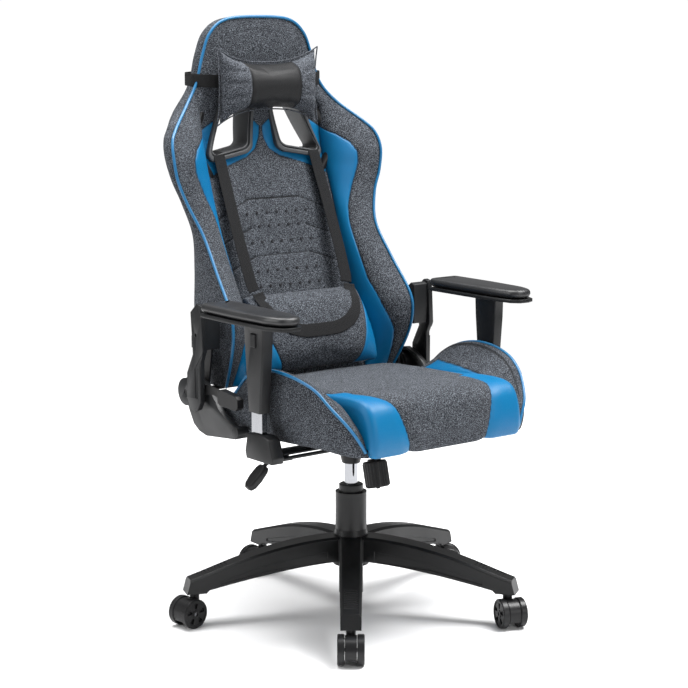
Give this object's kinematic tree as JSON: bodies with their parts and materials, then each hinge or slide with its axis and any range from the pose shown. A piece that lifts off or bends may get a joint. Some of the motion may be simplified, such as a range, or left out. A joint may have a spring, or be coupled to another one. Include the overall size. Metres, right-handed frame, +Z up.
{
  "type": "gaming chair",
  "caption": "High-backed bucket chair on a five-legged castor base, with a reclining winged back, pillows and height-adjustable armrests.",
  "frame": {"origin": "on the floor, on the axis of the gas column", "axes": "+Z up, the sitter faces -Y, +X is the sitter's left"},
  "size_m": [0.7354, 0.7041, 1.213],
  "materials": {
    "base_plastic": "satin moulded nylon",
    "column_plastic": "satin moulded",
    "castor_plastic": "semi-gloss moulded",
    "steel": "plain",
    "chrome": "bright",
    "black_steel": "black powder coat",
    "cover_plastic": "fine moulded grain",
    "arm_plastic": "fine moulded grain",
    "arm_pad_pu": "soft moulded PU",
    "knob_plastic": "satin",
    "grey_fabric": "heather weave",
    "pillow_fabric": "heather weave",
    "blue_pu": "smooth PU",
    "black_webbing": "woven webbing",
    "bezel_plastic": "fine moulded grain"
  },
  "bodies": {
    "base": {"star_base": "base_plastic", "gas_outer_tube": "black_steel", "column_cover": "column_plastic"},
    "lift_rod": {"piston_rod": "steel"},
    "mechanism": {"tilt_housing": "black_steel", "gas_cylinder": "chrome", "tilt_axle": "steel", "tension_spring": "steel"},
    "seat": {"mechanism_plate": "black_steel", "seat_frame": "black_steel", "seat_bolts": "steel", "seat_cushion": "grey_fabric", "seat_wing_left": "grey_fabric", "seat_wing_right": "grey_fabric", "hinge_cover_lower_left": "cover_plastic", "hinge_cover_lower_right": "cover_plastic", "arm_bracket_left": "arm_plastic", "arm_bracket_right": "arm_plastic", "arm_post_left": "chrome", "arm_post_right": "chrome"},
    "tilt_lock": {"tilt_lock_bolt": "steel"},
    "height_lever": {"height_lever": "black_steel", "lever_grip": "arm_plastic"},
    "tension_knob": {"tension_knob": "knob_plastic"},
    "recline_lever": {"recline_lever": "black_steel"},
    "backrest": {"back_frame": "black_steel", "back_cushion": "grey_fabric", "back_wing_left": "grey_fabric", "back_wing_right": "grey_fabric", "harness_bezels": "bezel_plastic", "hinge_cover_upper_left": "cover_plastic", "hinge_cover_upper_right": "cover_plastic"},
    "headrest": {"headrest_pillow": "pillow_fabric"},
    "lumbar": {"lumbar_pillow": "pillow_fabric"},
    "arm_left": {"arm_sleeve_left": "arm_plastic", "arm_pad_left": "arm_pad_pu"},
    "arm_right": {"arm_sleeve_right": "arm_plastic", "arm_pad_right": "arm_pad_pu"},
    "arm_button_left": {"arm_button_left": "arm_plastic"},
    "arm_button_right": {"arm_button_right": "arm_plastic"},
    "castor_1": {"castor_1_hood": "castor_plastic", "castor_1_pins": "steel"},
    "castor_1_wheel_a": {"castor_1_wheel_a": "castor_plastic"},
    "castor_1_wheel_b": {"castor_1_wheel_b": "castor_plastic"},
    "castor_2": {"castor_2_hood": "castor_plastic", "castor_2_pins": "steel"},
    "castor_2_wheel_a": {"castor_2_wheel_a": "castor_plastic"},
    "castor_2_wheel_b": {"castor_2_wheel_b": "castor_plastic"},
    "castor_3": {"castor_3_hood": "castor_plastic", "castor_3_pins": "steel"},
    "castor_3_wheel_a": {"castor_3_wheel_a": "castor_plastic"},
    "castor_3_wheel_b": {"castor_3_wheel_b": "castor_plastic"},
    "castor_4": {"castor_4_hood": "castor_plastic", "castor_4_pins": "steel"},
    "castor_4_wheel_a": {"castor_4_wheel_a": "castor_plastic"},
    "castor_4_wheel_b": {"castor_4_wheel_b": "castor_plastic"},
    "castor_5": {"castor_5_hood": "castor_plastic", "castor_5_pins": "steel"},
    "castor_5_wheel_a": {"castor_5_wheel_a": "castor_plastic"},
    "castor_5_wheel_b": {"castor_5_wheel_b": "castor_plastic"}
  },
  "joints": [
    {"name": "seat_swivel", "type": "hinge", "parent": "base", "child": "lift_rod", "pos_m": [0, 0, 0.1], "axis": [0, 0, 1], "continuous": true},
    {"name": "seat_height", "type": "slide", "parent": "lift_rod", "child": "mechanism", "axis": [0, 0, 1], "range_m": [-0.035, 0.045]},
    {"name": "seat_tilt", "type": "hinge", "parent": "mechanism", "child": "seat", "pos_m": [0, -0.028, 0.37], "axis": [-1, 0, 0], "range_deg": [0, 12], "stiffness_Nm_per_rad": 250, "springref_deg": -11.46, "deforming": ["tension_spring"]},
    {"name": "tilt_lock_slide", "type": "slide", "parent": "seat", "child": "tilt_lock", "axis": [-1, 0, 0], "range_m": [0, 0.012]},
    {"name": "height_lever_lift", "type": "hinge", "parent": "tilt_lock", "child": "height_lever", "pos_m": [-0.058, -0.045, 0.358], "axis": [0, 1, 0], "range_deg": [0, 5], "stiffness_Nm_per_rad": 6, "springref_deg": -5.73},
    {"name": "tension_knob_turn", "type": "hinge", "parent": "seat", "child": "tension_knob", "pos_m": [0, -0.076, 0.33], "axis": [0, 0.2419, 0.9703], "continuous": true},
    {"name": "recline", "type": "hinge", "parent": "seat", "child": "backrest", "pos_m": [0, 0.165, 0.47], "axis": [-1, 0, 0], "range_deg": [-5, 45]},
    {"name": "recline_lever_pull", "type": "hinge", "parent": "seat", "child": "recline_lever", "pos_m": [0, 0.165, 0.47], "axis": [-1, 0, 0], "range_deg": [0, 20], "stiffness_Nm_per_rad": 3, "springref_deg": -17.19},
    {"name": "headrest_slide", "type": "slide", "parent": "backrest", "child": "headrest", "axis": [0, 0, 1], "range_m": [-0.015, 0.03]},
    {"name": "lumbar_slide", "type": "slide", "parent": "backrest", "child": "lumbar", "axis": [0, 0.2992, 0.9542], "range_m": [0, 0.05]},
    {"name": "arm_height_left", "type": "slide", "parent": "seat", "child": "arm_left", "axis": [0, 0, 1], "range_m": [-0.035, 0.04]},
    {"name": "arm_button_press_left", "type": "slide", "parent": "arm_left", "child": "arm_button_left", "axis": [-1, 0, 0], "range_m": [0, 0.002], "stiffness_N_per_m": 400, "springref_m": -0.001},
    {"name": "arm_height_right", "type": "slide", "parent": "seat", "child": "arm_right", "axis": [0, 0, 1], "range_m": [-0.035, 0.04]},
    {"name": "arm_button_press_right", "type": "slide", "parent": "arm_right", "child": "arm_button_right", "axis": [1, 0, 0], "range_m": [0, 0.002], "stiffness_N_per_m": 400, "springref_m": -0.001},
    {"name": "castor_swivel_1", "type": "hinge", "parent": "base", "child": "castor_1", "pos_m": [-0.20516, -0.26166, 0.06], "axis": [0, 0, 1], "continuous": true},
    {"name": "castor_roll_1_a", "type": "hinge", "parent": "castor_1", "child": "castor_1_wheel_a", "pos_m": [-0.21627, -0.27582, 0.03], "axis": [0.7869, -0.617, 0], "continuous": true},
    {"name": "castor_roll_1_b", "type": "hinge", "parent": "castor_1", "child": "castor_1_wheel_b", "pos_m": [-0.21627, -0.27582, 0.03], "axis": [0.7869, -0.617, 0], "continuous": true},
    {"name": "castor_swivel_2", "type": "hinge", "parent": "base", "child": "castor_2", "pos_m": [0.18545, -0.27598, 0.06], "axis": [0, 0, 1], "continuous": true},
    {"name": "castor_roll_2_a", "type": "hinge", "parent": "castor_2", "child": "castor_2_wheel_a", "pos_m": [0.17929, -0.29289, 0.03], "axis": [0.9397, -0.342, 0], "continuous": true},
    {"name": "castor_roll_2_b", "type": "hinge", "parent": "castor_2", "child": "castor_2_wheel_b", "pos_m": [0.17929, -0.29289, 0.03], "axis": [0.9397, -0.342, 0], "continuous": true},
    {"name": "castor_swivel_3", "type": "hinge", "parent": "base", "child": "castor_3", "pos_m": [0.31978, 0.09109, 0.06], "axis": [0, 0, 1], "continuous": true},
    {"name": "castor_roll_3_a", "type": "hinge", "parent": "castor_3", "child": "castor_3_wheel_a", "pos_m": [0.33396, 0.08001, 0.03], "axis": [0.6157, 0.788, 0], "continuous": true},
    {"name": "castor_roll_3_b", "type": "hinge", "parent": "castor_3", "child": "castor_3_wheel_b", "pos_m": [0.33396, 0.08001, 0.03], "axis": [0.6157, 0.788, 0], "continuous": true},
    {"name": "castor_swivel_4", "type": "hinge", "parent": "base", "child": "castor_4", "pos_m": [0.01218, 0.33228, 0.06], "axis": [0, 0, 1], "continuous": true},
    {"name": "castor_roll_4_a", "type": "hinge", "parent": "castor_4", "child": "castor_4_wheel_a", "pos_m": [-0.00575, 0.33385, 0.03], "axis": [-0.0872, -0.9962, 0], "continuous": true},
    {"name": "castor_roll_4_b", "type": "hinge", "parent": "castor_4", "child": "castor_4_wheel_b", "pos_m": [-0.00575, 0.33385, 0.03], "axis": [-0.0872, -0.9962, 0], "continuous": true},
    {"name": "castor_swivel_5", "type": "hinge", "parent": "base", "child": "castor_5", "pos_m": [-0.31225, 0.11427, 0.06], "axis": [0, 0, 1], "continuous": true},
    {"name": "castor_roll_5_a", "type": "hinge", "parent": "castor_5", "child": "castor_5_wheel_a", "pos_m": [-0.33011, 0.11207, 0.03], "axis": [0.1219, -0.9925, 0], "continuous": true},
    {"name": "castor_roll_5_b", "type": "hinge", "parent": "castor_5", "child": "castor_5_wheel_b", "pos_m": [-0.33011, 0.11207, 0.03], "axis": [0.1219, -0.9925, 0], "continuous": true}
  ]
}
